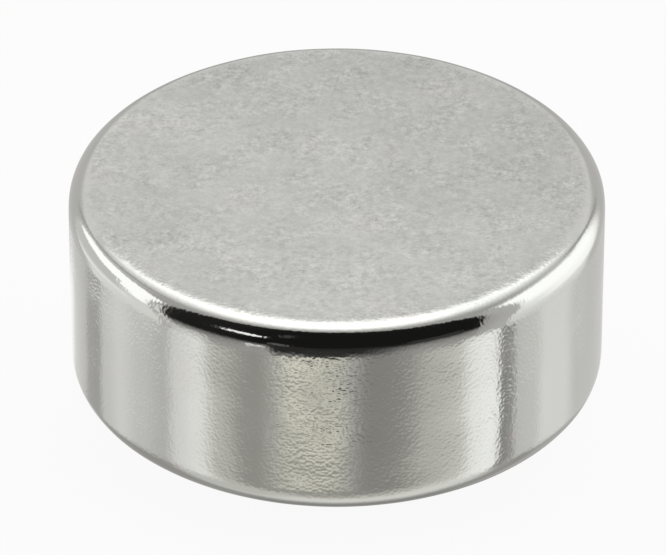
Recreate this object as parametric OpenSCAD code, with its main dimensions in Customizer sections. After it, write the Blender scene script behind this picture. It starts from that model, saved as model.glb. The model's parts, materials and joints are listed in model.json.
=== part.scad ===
// Disc magnet: one solid sintered disc with tumbled edges and a bright nickel plating.
// It stands on its lower pole face, which is centred on the origin, with its axis along +Z.

/* [Disc] */
// Diameter over the plating
diameter = 20; // [8:0.5:60]
// Thickness from one pole face to the other
thickness = 8; // [3:0.5:30]

/* [Edges] */
// Radius that tumbling leaves on the edge of each pole face
edge_radius = 0.8; // [0.1:0.05:1.4]

/* [Hidden] */

// Facets once round the axis, and once round an edge's rounding
axis_facets = 256;
edge_facets = 64;

// Bright nickel under soft light
nickel = [0.75, 0.75, 0.73];

rim_radius = diameter / 2;
face_radius = rim_radius - edge_radius;
wall_height = thickness - 2 * edge_radius;

// Half of the disc's section, from the axis out to the rim, with a true arc at each corner
module half_section() {
    // Between the two flat pole faces
    square([face_radius, thickness]);
    // Out to the straight part of the rim
    translate([0, edge_radius])
        square([rim_radius, wall_height]);
    for (centre_z = [edge_radius, edge_radius + wall_height])
        translate([face_radius, centre_z])
            circle(r = edge_radius, $fn = edge_facets);
}

module magnet_disc() {
    color(nickel)
        rotate_extrude($fn = axis_facets)
            half_section();
}

magnet_disc();
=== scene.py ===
"""A nickel-plated disc magnet, standing on a pale floor in a light tent."""

import json
from math import cos, pi, radians, sin, tau

import bpy
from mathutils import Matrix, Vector, noise


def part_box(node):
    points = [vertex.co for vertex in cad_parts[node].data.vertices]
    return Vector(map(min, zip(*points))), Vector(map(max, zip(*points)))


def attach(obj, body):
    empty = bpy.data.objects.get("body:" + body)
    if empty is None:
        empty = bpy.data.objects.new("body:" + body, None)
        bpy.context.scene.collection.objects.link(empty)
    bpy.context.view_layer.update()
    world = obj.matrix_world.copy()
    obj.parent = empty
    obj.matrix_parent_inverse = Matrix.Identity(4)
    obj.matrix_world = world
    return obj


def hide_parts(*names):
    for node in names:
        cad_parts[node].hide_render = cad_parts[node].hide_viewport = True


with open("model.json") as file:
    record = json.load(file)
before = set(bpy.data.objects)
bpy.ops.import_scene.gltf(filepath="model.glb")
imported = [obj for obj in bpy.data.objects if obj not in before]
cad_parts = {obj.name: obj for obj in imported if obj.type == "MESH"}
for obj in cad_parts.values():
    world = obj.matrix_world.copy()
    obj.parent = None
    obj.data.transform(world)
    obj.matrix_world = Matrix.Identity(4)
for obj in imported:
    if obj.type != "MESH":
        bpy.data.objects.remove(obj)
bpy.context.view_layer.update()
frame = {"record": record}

MM = 0.001
NODE = "magnet_disc"

# ---------------------------------------------------------------- sizes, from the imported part

lowest, highest = (Vector(corner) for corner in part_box(NODE))
RIM = (highest.x - lowest.x) / 2
THICKNESS = highest.z - lowest.z
rim_mount = next(m for m in frame["record"]["mounts"] if m["name"] == "rim")
STRAIGHT = rim_mount["dims"]["length_mm"] * MM
EDGE = (THICKNESS - STRAIGHT) / 2
FACE = RIM - EDGE
MIDDLE = Vector((0, 0, THICKNESS / 2))

# ---------------------------------------------------------------- camera

CAMERA_DISTANCE = 13 * 2 * RIM
CAMERA_ELEVATION = radians(34)
CAMERA_LENS = 374.5  # millimetres, on a sensor 36 mm wide
CAMERA_SHIFT = (-0.0058, -0.0076)


def add_camera():
    data = bpy.data.cameras.new("camera")
    data.lens = CAMERA_LENS
    data.shift_x, data.shift_y = CAMERA_SHIFT
    data.clip_start = CAMERA_DISTANCE / 20
    camera = bpy.data.objects.new("camera", data)
    outward = Vector((0, -cos(CAMERA_ELEVATION), sin(CAMERA_ELEVATION)))
    camera.location = MIDDLE + CAMERA_DISTANCE * outward
    camera.rotation_euler = outward.to_track_quat("Z", "Y").to_euler()
    bpy.context.collection.objects.link(camera)
    bpy.context.scene.camera = camera


# ---------------------------------------------------------------- the disc's mesh

SEGMENTS = 512  # round the rim
# Tumbling turns the surface gently by a few degrees before and after each edge's round part, whose radius
# is a little smaller for it, so that the edge as a whole keeps to the CAD's
ROLL = 0.5 * MM
ROLL_TILT = radians(5)
ROUND = 0.95 * EDGE
ROLL_RINGS = 7
EDGE_RINGS = 18
WALL_RINGS = 36
# How far tumbling and plating leave the surface from true, and over what length
WAVES = ((2.2 * MM, 0.008 * MM), (0.9 * MM, 0.002 * MM))


def edge_profile():
    """(in from the rim, up from the wall's straight part) along one edge, from the wall to the face."""
    turns = [ROLL_TILT * (i / ROLL_RINGS) ** 2 for i in range(ROLL_RINGS + 1)]
    steps = [(ROLL / ROLL_RINGS, (a + b) / 2) for a, b in zip(turns, turns[1:])]
    arc_step = (pi / 2 - 2 * ROLL_TILT) / EDGE_RINGS
    arc = [(ROUND * arc_step, ROLL_TILT + arc_step * (i + 0.5)) for i in range(EDGE_RINGS)]
    steps += arc + [(length, pi / 2 - turn) for length, turn in reversed(steps)]
    points = [(0.0, 0.0)]
    for length, turn in steps:
        inward, up = points[-1]
        points.append((inward + length * sin(turn), up + length * cos(turn)))
    return points


def section():
    """(radius, height) of each ring of vertices, from the lower face round the rim to the upper face."""
    profile = edge_profile()
    start = THICKNESS - profile[-1][1]
    upper = [(RIM - inward, start + up) for inward, up in profile]
    lower = [(radius, THICKNESS - height) for radius, height in reversed(upper)]
    wall = [(RIM, THICKNESS - start + (2 * start - THICKNESS) * i / WALL_RINGS) for i in range(1, WALL_RINGS)]
    return lower + wall + upper


def grid_to_disc(across, up):
    """The (radius, angle) in the unit disc of a point in a square of side 2: each square becomes a circle."""
    if abs(across) >= abs(up):
        radius = across
        angle = pi / 4 * up / across if across else 0
    else:
        radius = up
        angle = pi / 2 - pi / 4 * across / up
    if radius < 0:
        radius = -radius
        angle += pi
    return radius, angle % tau


def add_face(vertices, faces, rim_start, radius_out, height, facing_up):
    """Fills the ring of vertices that starts at rim_start with a grid of quads, bent to fit the circle."""
    half = SEGMENTS // 8
    index = {}
    for i in range(-half, half + 1):
        for j in range(-half, half + 1):
            radius, angle = grid_to_disc(i / half, j / half)
            if max(abs(i), abs(j)) == half:
                index[i, j] = rim_start + round(angle / tau * SEGMENTS) % SEGMENTS
            else:
                index[i, j] = len(vertices)
                vertices.append((radius_out * radius * cos(angle), radius_out * radius * sin(angle), height))
    for i in range(-half, half):
        for j in range(-half, half):
            quad = (index[i, j], index[i + 1, j], index[i + 1, j + 1], index[i, j + 1])
            faces.append(quad if facing_up else quad[::-1])


def make_disc():
    vertices = []
    faces = []
    rings = section()
    for radius, height in rings:
        for k in range(SEGMENTS):
            angle = tau * k / SEGMENTS
            vertices.append((radius * cos(angle), radius * sin(angle), height))
    for ring in range(len(rings) - 1):
        for k in range(SEGMENTS):
            here = ring * SEGMENTS + k
            beside = ring * SEGMENTS + (k + 1) % SEGMENTS
            faces.append((here, beside, beside + SEGMENTS, here + SEGMENTS))
    flat = rings[0][0]
    add_face(vertices, faces, 0, flat, 0, facing_up=False)
    add_face(vertices, faces, (len(rings) - 1) * SEGMENTS, flat, THICKNESS, facing_up=True)
    mesh = bpy.data.meshes.new("plated_disc")
    mesh.from_pydata(vertices, [], faces)
    mesh.validate()
    normals = [Vector(v.normal) for v in mesh.vertices]
    for vertex, normal in zip(mesh.vertices, normals):
        for length, height in WAVES:
            vertex.co += normal * height * noise.noise(vertex.co / length)
    mesh.shade_smooth()
    disc = bpy.data.objects.new("plated_disc", mesh)
    bpy.context.collection.objects.link(disc)
    return disc


# ---------------------------------------------------------------- node helpers


class Wiring:
    """Adds nodes to one node tree. A value may be a number or another node's output."""

    def __init__(self, tree):
        self.tree = tree
        tree.nodes.clear()

    def add(self, kind, settings=None, **values):
        node = self.tree.nodes.new(kind)
        for name, value in (settings or {}).items():
            setattr(node, name, value)
        for name, value in values.items():
            self.feed(node.inputs[name.replace("_", " ")], value)
        return node

    def feed(self, socket, value):
        if isinstance(value, bpy.types.NodeSocket):
            self.tree.links.new(value, socket)
        else:
            socket.default_value = value

    def maths(self, operation, *values):
        node = self.tree.nodes.new("ShaderNodeMath")
        node.operation = operation
        for socket, value in zip(node.inputs, values):
            self.feed(socket, value)
        return node.outputs[0]

    def rise(self, value, start, end, low=0.0, high=1.0):
        """Low up to start and high from end on, with a smooth change between."""
        node = self.add("ShaderNodeMapRange", {"interpolation_type": "SMOOTHSTEP"})
        for socket, given in zip(node.inputs, (value, start, end, low, high)):
            self.feed(socket, given)
        return node.outputs["Result"]

    def scale(self, value, start, end):
        """0 at start and 1 at end, in proportion between."""
        node = self.add("ShaderNodeMapRange")
        for socket, given in zip(node.inputs, (value, start, end, 0, 1)):
            self.feed(socket, given)
        return node.outputs["Result"]

    def mix(self, share, first, second):
        node = self.add("ShaderNodeMix", {"data_type": "RGBA"})
        colour_sockets = [s for s in node.inputs if s.type == "RGBA"]
        self.feed(node.inputs[0], share)
        self.feed(colour_sockets[0], first)
        self.feed(colour_sockets[1], second)
        return next(s for s in node.outputs if s.type == "RGBA")


# ---------------------------------------------------------------- nickel plating

NICKEL = (0.61, 0.618, 0.597, 1)
NICKEL_WARM = (0.619, 0.613, 0.592, 1)
# The pole faces are ground before plating, which leaves them more satin than the tumbled rim and edges.
# Each roughness varies between two values, with a cloudy pattern.
RIM_ROUGH = (0.065, 0.1)
FACE_ROUGH = (0.13, 0.18)
CLOUD_SIZE = 2.5 * MM
CLOUDY = (0.3, 0.7)
WARM_CLOUD = (0.55, 0.75)
# Orange peel of the plating, over the coarser unevenness of the tumbled surface
PEEL_SIZE = 0.12 * MM
PEEL_HEIGHT = 0.0024 * MM
COARSE_SIZE = 0.35 * MM
COARSE_HEIGHT = 0.001 * MM
# Grinding grain, which is coarse in some patches and faint in others, and a duller film over parts of it
FLECK_SIZE = 0.3 * MM
FLECK_FINENESS = 0.95
FAINT_SIZE = 1.6 * MM
FAINTEST = 0.45
FILM_SIZE = 3.5 * MM
FILM_SHADE = -0.06
# Painted shade: the colour also darkens from one side of the disc to the other, towards +X and +Y
SIDE_START = -4 * MM
SIDE_END = 12 * MM
SIDE_PAINTED_SHADE = -0.08
# Share of the light that a ground face gives back, next to the rim, and share of it that its finest scratches
# scatter instead of mirroring, so that it is never quite black
GROUND_SHADE = 0.92
SCATTERED = 0.3
# Distance from the axis at which each of these starts and is whole. The borders are ragged.
RAGGED = 0.5 * MM
SATIN_BORDER = (FACE + 0.1 * MM, FACE - 0.3 * MM)
GRAIN_BORDER = (FACE + 0.65 * MM, FACE + 0.2 * MM)
SCATTER_BORDER = (FACE + 0.4 * MM, FACE - 0.3 * MM)


def grain(wiring, place, size, detail=1.0, fineness=0.5):
    """Noise about 0.5 with features of the given size and finer ones, whose strength is fineness, over them."""
    node = wiring.add("ShaderNodeTexNoise", Vector=place, Scale=1 / size, Detail=detail, Roughness=fineness)
    return node.outputs["Fac"]


def plate_roughness(w, cloud, from_axis):
    """Glossy on the rim and both edges, more satin on the pole faces."""
    rim = w.rise(cloud, *CLOUDY, *RIM_ROUGH)
    face = w.rise(cloud, *CLOUDY, *FACE_ROUGH)
    ground = w.rise(from_axis, *SATIN_BORDER)
    return w.maths("ADD", rim, w.maths("MULTIPLY", ground, w.maths("SUBTRACT", face, rim)))


def plate_normal(w, place):
    """The surface's direction, tipped by the coarser unevenness and then by the orange peel."""
    coarse = grain(w, place, COARSE_SIZE)
    peel = grain(w, place, PEEL_SIZE, 0.0)
    first = w.add("ShaderNodeBump", Height=coarse, Distance=COARSE_HEIGHT, Strength=1.0)
    second = w.add("ShaderNodeBump", Height=peel, Distance=PEEL_HEIGHT, Strength=1.0, Normal=first.outputs[0])
    return second.outputs[0]


def plate_shade(w, place, across, from_axis):
    """How much of the plating's colour is left by the grinding grain, the film, a painted shade towards one
    side and the ground surface.
    """
    flecks = w.maths("SUBTRACT", grain(w, place, FLECK_SIZE, 2.0, FLECK_FINENESS), 0.5)
    contrast = w.rise(grain(w, place, FAINT_SIZE), 0.35, 0.65, FAINTEST, 1.0)
    film_and_painted_shade = w.rise(grain(w, place, FILM_SIZE, 2.0), 0.4, 0.7, 0.0, FILM_SHADE)
    # painted shade: the colour grows darker towards +X+Y, added on top of the film
    film_and_painted_shade = w.maths("ADD", film_and_painted_shade, w.rise(across, SIDE_START, SIDE_END, 0.0, SIDE_PAINTED_SHADE))
    change = w.maths("ADD", w.maths("MULTIPLY", flecks, contrast), film_and_painted_shade)
    duller = w.maths("SUBTRACT", w.maths("MULTIPLY", change, GROUND_SHADE), 1 - GROUND_SHADE)
    grained = w.rise(from_axis, *GRAIN_BORDER)
    return w.maths("ADD", 1.0, w.maths("MULTIPLY", grained, duller))


def make_nickel():
    material = bpy.data.materials.new("nickel_plate")
    material.use_nodes = True
    w = Wiring(material.node_tree)
    place = w.add("ShaderNodeTexCoord").outputs["Object"]
    x, y, _ = w.add("ShaderNodeSeparateXYZ", Vector=place).outputs
    cloud = grain(w, place, CLOUD_SIZE, 2.0)
    from_axis = w.maths("SQRT", w.maths("ADD", w.maths("MULTIPLY", x, x), w.maths("MULTIPLY", y, y)))
    from_axis = w.maths("ADD", from_axis, w.maths("MULTIPLY", cloud, RAGGED))
    tint = w.mix(w.rise(cloud, *WARM_CLOUD), NICKEL, NICKEL_WARM)
    shade = plate_shade(w, place, w.maths("ADD", x, y), from_axis)
    colour = w.add("ShaderNodeVectorMath", {"operation": "SCALE"}, Vector=tint, Scale=shade)
    scattered = w.maths("MULTIPLY", w.rise(from_axis, *SCATTER_BORDER), SCATTERED)
    shader = w.add(
        "ShaderNodeBsdfPrincipled",
        Base_Color=colour.outputs[0],
        Metallic=w.maths("SUBTRACT", 1.0, scattered),
        Roughness=plate_roughness(w, cloud, from_axis),
        Normal=plate_normal(w, place),
    )
    w.add("ShaderNodeOutputMaterial", Surface=shader.outputs[0])
    return material


# ---------------------------------------------------------------- floor

FLOOR_SIDE = 3.0
WHITE = (1, 1, 1, 1)
PAPER = (0.9, 0.9, 0.9, 1)
PALER = 0.93


def make_paper():
    """White paper, which the camera sees paler than it is, so that only a soft shadow is left on it."""
    material = bpy.data.materials.new("white_paper")
    material.use_nodes = True
    w = Wiring(material.node_tree)
    paper = w.add("ShaderNodeBsdfDiffuse", Color=PAPER)
    white = w.add("ShaderNodeEmission", Color=WHITE, Strength=1.0)
    seen = w.add("ShaderNodeLightPath").outputs["Is Camera Ray"]
    shown = w.add("ShaderNodeMixShader")
    w.feed(shown.inputs[0], w.maths("MULTIPLY", seen, PALER))
    w.feed(shown.inputs[1], paper.outputs[0])
    w.feed(shown.inputs[2], white.outputs[0])
    w.add("ShaderNodeOutputMaterial", Surface=shown.outputs[0])
    return material


def add_floor():
    half = FLOOR_SIDE / 2
    mesh = bpy.data.meshes.new("floor")
    corners = [(-half, -half, 0), (half, -half, 0), (half, half, 0), (-half, half, 0)]
    mesh.from_pydata(corners, [], [(0, 1, 2, 3)])
    floor = bpy.data.objects.new("floor", mesh)
    mesh.materials.append(make_paper())
    floor.visible_glossy = False
    bpy.context.collection.objects.link(floor)


# ---------------------------------------------------------------- light tent

# The backdrop has a strength of 1, which is white, for every ray, so the metal shows it as the camera does.
# Only what stands in front of it is hidden from the camera: lamps, cards, the opening and the tent's floor.
BACKDROP = 1.0
CLOTH = 0.93
SOFTBOX = 1.6
# The dark opening, a little paler at its left. Its soft edge lies between these degrees from its middle.
OPENING = 0.012
OPENING_LEFT = 0.018
OPENING_HALF = 63.5
OPENING_EDGE = 67
# The dim parts of the tent are a little warmer than its lamps, and the wood before the magnet more so
DIM_TINT = (1.025, 1, 0.97, 1)
BRIGHT_TINT = (1, 1, 0.985, 1)
WOOD_TINT = (1, 0.97, 0.84, 1)
# The border between the left softbox and the top leans: it lies where slant has these values
LEAN = 0.16
SLANT_BORDER = (-70.3, -64.3)
# The wood's light and how much its grain changes it, with a line every so many degrees of elevation
WOOD = 0.9
WOOD_LINES = 0.27
WOOD_LINE_GAP = 3.2
WOOD_LINE_START = 35.2

# Light of the tent's floor across its stripes, as (toward, strength)
CLOSE_STRIPES = (
    (-1.4, 1.05), (-1.2, 0.85), (-1.0, 0.6), (-0.8, 0.46), (-0.2, 0.42), (0.0, 0.42), (0.16, 0.46),
    (0.3, 0.66), (0.44, 0.85), (0.6, 0.98), (0.78, 0.98), (0.94, 0.93), (1.12, 0.58), (1.3, 0.45),
)
LEFT_STRIPES = (
    (-1.43, 1.1), (-1.39, 0.95), (-1.33, 0.78), (-1.14, 0.7), (-1.04, 0.5), (-0.87, 0.48), (-0.72, 0.78),
    (-0.45, 0.92), (-0.1, 0.78), (0.22, 0.66), (0.42, 1.0), (0.65, 1.14), (0.88, 0.7), (1.1, 0.41),
    (1.5, 0.41),
)
RIGHT_STRIPES = (
    (-1.44, 0.68), (-1.32, 0.7), (-0.9, 0.74), (-0.6, 0.98), (-0.3, 1.0), (-0.12, 0.8), (0.13, 0.75),
    (0.22, 0.4), (0.29, 0.32), (0.36, 0.32), (0.39, 1.3), (0.5, 1.32), (0.66, 1.24), (0.85, 0.8),
    (1.05, 0.67), (1.3, 0.34), (1.5, 0.34),
)


class Tent:
    """The light that reaches the magnet from each direction, built up one panel over another.

    Azimuth is in degrees from the camera's side, growing towards +X, and elevation is in degrees above the
    horizon. Over is the angle from the horizon at the camera's side, over the top and down behind, and side is
    the angle out of the plane that it is measured in. Slant is side less a share of over, so that a border in
    it leans. Across and toward are where the direction meets the tent's floor, one unit below the magnet, with
    toward growing to the camera's side.
    """

    def __init__(self, wiring):
        w = self.w = wiring
        self.way = w.add("ShaderNodeTexCoord").outputs["Generated"]
        x, y, z = w.add("ShaderNodeSeparateXYZ", Vector=self.way).outputs
        front = w.maths("MULTIPLY", y, -1)
        down = w.maths("MAXIMUM", w.maths("MULTIPLY", z, -1), 0.1)
        self.azimuth = self.degrees(w.maths("ARCTAN2", x, front))
        self.elevation = self.degrees(w.maths("ARCSINE", z))
        self.over = self.degrees(w.maths("ARCTAN2", z, front))
        self.side = self.degrees(w.maths("ARCSINE", x))
        self.slant = w.maths("SUBTRACT", self.side, w.maths("MULTIPLY", self.over, LEAN))
        self.across = w.maths("DIVIDE", x, down)
        self.toward = w.maths("DIVIDE", front, down)
        self.light = BACKDROP

    def degrees(self, angle):
        return self.w.maths("MULTIPLY", angle, 180 / pi)

    def within(self, value, low, high, soft=3):
        rising = self.w.rise(value, low - soft / 2, low + soft / 2)
        falling = self.w.rise(value, high - soft / 2, high + soft / 2, 1, 0)
        return self.w.maths("MULTIPLY", rising, falling)

    def both(self, first, second):
        return self.w.maths("MULTIPLY", first, second)

    def panel(self, first, second, strength):
        """Covers what lies within both limits, each given as value, low, high and how soft its edges are."""
        self.cover(self.both(self.within(*first), self.within(*second)), strength)

    def stripes(self, *stops):
        """Light that changes smoothly with toward, given as (toward, strength) at each stop."""
        far, near = stops[0][0], stops[-1][0]
        ramp = self.w.add("ShaderNodeValToRGB")
        self.w.feed(ramp.inputs[0], self.w.scale(self.toward, far, near))
        ramp.color_ramp.interpolation = "EASE"
        points = ramp.color_ramp.elements
        while len(points) < len(stops):
            points.new(0.5)
        for point, (at, strength) in zip(points, stops):
            point.position = (at - far) / (near - far)
            point.color = (strength, strength, strength, 1)
        return ramp.outputs["Color"]

    def cover(self, mask, strength):
        added = self.w.maths("MULTIPLY", mask, self.w.maths("SUBTRACT", strength, self.light))
        self.light = self.w.maths("ADD", self.light, added)


def hang_cloth(t):
    """Cloth behind the magnet, darker low down."""
    t.panel((t.elevation, -40, 95), (t.over, 25, 225, 6), CLOTH)
    away = t.w.maths("ABSOLUTE", t.azimuth)
    t.panel((away, 133, 166, 12), (t.elevation, -50, 27, 10), 0.7)
    t.panel((away, 133, 170, 12), (t.elevation, -50, 23, 10), 0.64)
    t.panel((away, 165, 190, 8), (t.elevation, -50, 8, 6), 0.55)


def hang_left_softbox(t):
    """Softbox at the left, which fades downwards, with a grey card before it and slats beside the opening."""
    w = t.w
    left = t.both(t.within(t.azimuth, -132, -79.5, 4), w.rise(t.slant, *SLANT_BORDER, 1, 0))
    t.cover(t.both(left, w.rise(t.elevation, 66, 56)), w.rise(t.elevation, -32, -4, 1.3, SOFTBOX))
    t.panel((t.azimuth, -130, -98, 3), (t.elevation, 8, 16, 3), SOFTBOX)
    card = w.rise(t.elevation, -30, -12, 1.2, 0.8)
    t.panel((t.azimuth, -134, -96.5, 2), (t.elevation, -28.5, 11.5, 5), card)
    t.panel((t.azimuth, -80, -71, 1), (t.elevation, -50, 60), 0.6)
    t.panel((t.azimuth, -76, -74.5, 0.6), (t.elevation, -30, 30), 1.35)


def hang_right_softbox(t):
    """Softbox at the right, which fades downwards, and the dark frame beside it."""
    w = t.w
    right = t.both(w.rise(t.azimuth, 76, 82), w.rise(t.azimuth, 122, 141, 1, 0))
    low_right = w.rise(t.azimuth, 82, 104, 1.15, 1.45)
    t.cover(right, w.rise(t.elevation, -36, -20, 0.9, low_right))
    t.cover(t.both(right, w.rise(t.elevation, -20, 12)), SOFTBOX)
    t.panel((t.azimuth, 56, 77, 2), (t.elevation, -50, 52), w.rise(t.azimuth, 56, 72, 0.44, 0.62))


def hang_top(t):
    """The darker top with a bar at each side, and the round overhead softbox, brightest in its middle."""
    w = t.w
    top = t.both(w.rise(t.slant, *SLANT_BORDER), w.rise(t.side, 40, 53, 1, 0))
    t.cover(t.both(top, t.within(t.over, 35, 138, 8)), w.rise(t.over, 84, 128, 0.5, 0.76))
    t.panel((t.side, -39.5, -34, 4), (t.over, 88, 160, 8), 0.52)
    t.panel((t.side, 33, 40, 4), (t.over, 130, 165, 8), 0.5)
    aside = w.maths("ABSOLUTE", t.side)
    back = w.maths("ADD", t.over, w.maths("MULTIPLY", w.maths("MINIMUM", aside, 14), 0.45))
    overhead = t.both(w.rise(t.over, 83, 116), w.rise(back, 139, 145.7, 1, 0))
    t.cover(t.both(overhead, t.within(t.side, -31.5, 32, 6)), w.rise(aside, 2, 34, 1.95, 0.8))


def cut_opening(t):
    """The round opening that the camera looks through, and the table before it, paler towards the magnet."""
    w = t.w
    aside, above = radians(-6), radians(17)
    centre = (sin(aside) * cos(above), -cos(aside) * cos(above), sin(above))
    facing = w.add("ShaderNodeVectorMath", {"operation": "DOT_PRODUCT"}, Vector=t.way)
    facing.inputs[1].default_value = centre
    limits = (cos(radians(OPENING_EDGE)), cos(radians(OPENING_HALF)))
    opening = w.rise(facing.outputs["Value"], *limits)
    dark = w.rise(t.azimuth, -54, -30, OPENING_LEFT, OPENING)
    table = w.rise(t.elevation, -37, -9, 0.5, dark)
    t.cover(opening, table)
    t.panel((t.azimuth, -72.5, 59.5, 2), (t.elevation, -50, 18, 6), table)
    # pale edges of the table
    t.panel((t.azimuth, -74, -56, 6), (t.elevation, -50, -29, 4), 0.85)
    t.panel((t.azimuth, 55, 70, 3), (t.elevation, -50, -32, 2), 0.9)


def furnish_opening(t):
    """A window in the opening, a plain dark area before it, dim patches, and a small bright edge."""
    w = t.w
    t.panel((t.azimuth, -47, -31, 2), (t.elevation, 19.5, 28.5, 3), 1.5)
    area = t.both(w.rise(t.azimuth, -29.5, -26), w.rise(t.azimuth, 6, 40, 1, 0))
    area = t.both(area, w.rise(t.elevation, -5, -11))
    t.cover(area, w.rise(t.elevation, -35.5, -28, 0.32, 0.03))
    t.panel((t.azimuth, -13, 4, 4), (t.elevation, -35, -20, 1), 0.04)
    t.panel((t.azimuth, -27, -19, 3), (t.elevation, -11, 0, 4), 0.13)
    t.panel((t.azimuth, -26, -20, 3), (t.elevation, 36, 52, 8), 0.07)
    t.panel((t.azimuth, 28, 50, 6), (t.elevation, -14, 0, 6), 0.05)
    t.panel((t.azimuth, -39, -30.5, 2), (t.elevation, -27.5, -23.5, 2), 0.95)


def light_close_floor(t):
    """Light of the floor close to the magnet, whose shadow is deepest at the back and in the middle."""
    t.light = t.stripes(*CLOSE_STRIPES)
    t.panel((t.across, 0.1, 1.4, 0.3), (t.toward, -1.6, -0.25, 0.3), 0.55)
    t.panel((t.across, -0.25, 0.35, 0.2), (t.toward, -0.35, 0.03, 0.15), 0.33)
    t.panel((t.across, -0.12, 0.3, 0.2), (t.toward, -1.25, -0.4, 0.3), 0.38)
    t.panel((t.across, -1.4, -0.4, 0.4), (t.toward, 0.4, 1.1, 0.3), 0.74)
    return t.light


def lay_wood(t):
    """Bright wooden patch at the edge close to the camera. Its grain runs across, and shows where the
    plating's ripples tip the view up and down."""
    w = t.w
    wood = t.both(w.rise(t.across, -0.84, -0.45), w.rise(t.across, -0.1, 0.36, 1, 0))
    wood = t.both(wood, t.both(w.rise(t.elevation, -36.8, -35.8), w.rise(t.toward, 0.8, 1.0)))
    turn = w.maths("MULTIPLY", w.maths("ADD", t.elevation, WOOD_LINE_START), tau / WOOD_LINE_GAP)
    t.cover(wood, w.maths("ADD", WOOD, w.maths("MULTIPLY", w.maths("SINE", turn), WOOD_LINES)))
    return wood


def lay_floor(t):
    """The tent's floor, with stripes across it, which differ to the left and right and close to the magnet.

    Returns how much of the light comes off wood, which also tinges what is near it.
    """
    w = t.w
    floor = w.rise(t.elevation, -34.2, -33.2, 1, 0)
    above = t.light
    close = light_close_floor(t)
    t.light = t.stripes(*LEFT_STRIPES)
    t.cover(w.rise(t.across, -0.5, 0.5), t.stripes(*RIGHT_STRIPES))
    t.cover(w.rise(t.elevation, -37, -41), close)
    wood = lay_wood(t)
    laid = t.light
    t.light = above
    t.cover(floor, laid)
    return t.both(w.maths("MAXIMUM", wood, w.rise(t.toward, 0.4, 1.0, 0, 0.35)), floor)


def light_tent():
    world = bpy.data.worlds.new("light_tent")
    bpy.context.scene.world = world
    world.use_nodes = True
    w = Wiring(world.node_tree)
    tent = Tent(w)
    hang_cloth(tent)
    hang_left_softbox(tent)
    hang_right_softbox(tent)
    hang_top(tent)
    cut_opening(tent)
    furnish_opening(tent)
    wood = lay_floor(tent)
    hidden = w.add("ShaderNodeLightPath").outputs["Is Camera Ray"]
    tent.cover(hidden, BACKDROP)
    tint = w.mix(w.rise(tent.light, 0.3, 1.2), DIM_TINT, BRIGHT_TINT)
    tint = w.mix(wood, tint, WOOD_TINT)
    tint = w.mix(hidden, tint, WHITE)
    background = w.add("ShaderNodeBackground", Color=tint, Strength=tent.light)
    w.add("ShaderNodeOutputWorld", Surface=background.outputs[0])


# ---------------------------------------------------------------- the scene

add_camera()
add_floor()
light_tent()

disc = make_disc()
disc.data.materials.append(make_nickel())
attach(disc, "root")
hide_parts(NODE)

bpy.context.scene.view_settings.view_transform = "Standard"
